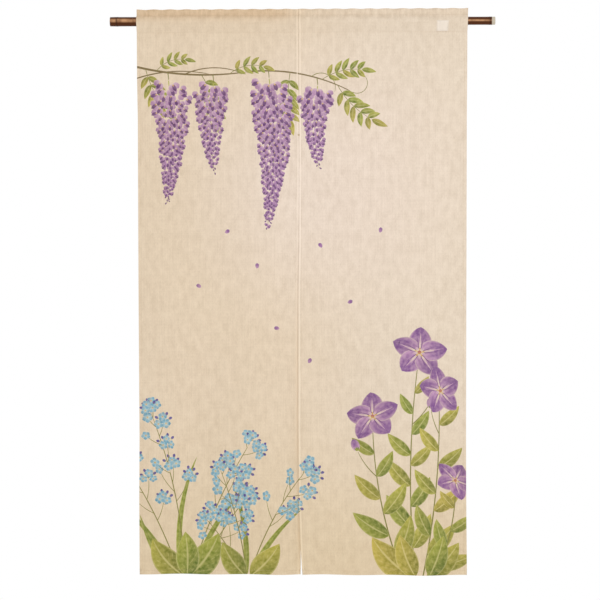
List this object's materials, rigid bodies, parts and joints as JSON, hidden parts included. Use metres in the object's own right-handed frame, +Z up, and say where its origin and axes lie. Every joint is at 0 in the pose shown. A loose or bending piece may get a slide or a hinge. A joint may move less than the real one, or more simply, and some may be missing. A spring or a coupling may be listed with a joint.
{
  "type": "noren curtain on a bamboo pole",
  "caption": "Door curtain of side-by-side hemp cloth panels, sewn together at the top and slit below, hung by a sewn pocket on a tapered bamboo pole.",
  "frame": {"origin": "on the pole's axis, halfway along the pole", "axes": "+X to the right as the curtain is looked at, along the pole; +Z up; the painted front faces -Y"},
  "size_m": [1.02, 0.0286, 1.5],
  "materials": {
    "bamboo": "smoked and oiled",
    "hemp_cloth": "plain weave with slubs",
    "label_cloth": "fine tape"
  },
  "bodies": {
    "root": {"pole": "bamboo", "left_panel": "hemp_cloth", "right_panel": "hemp_cloth", "label": "label_cloth"}
  },
  "joints": []
}
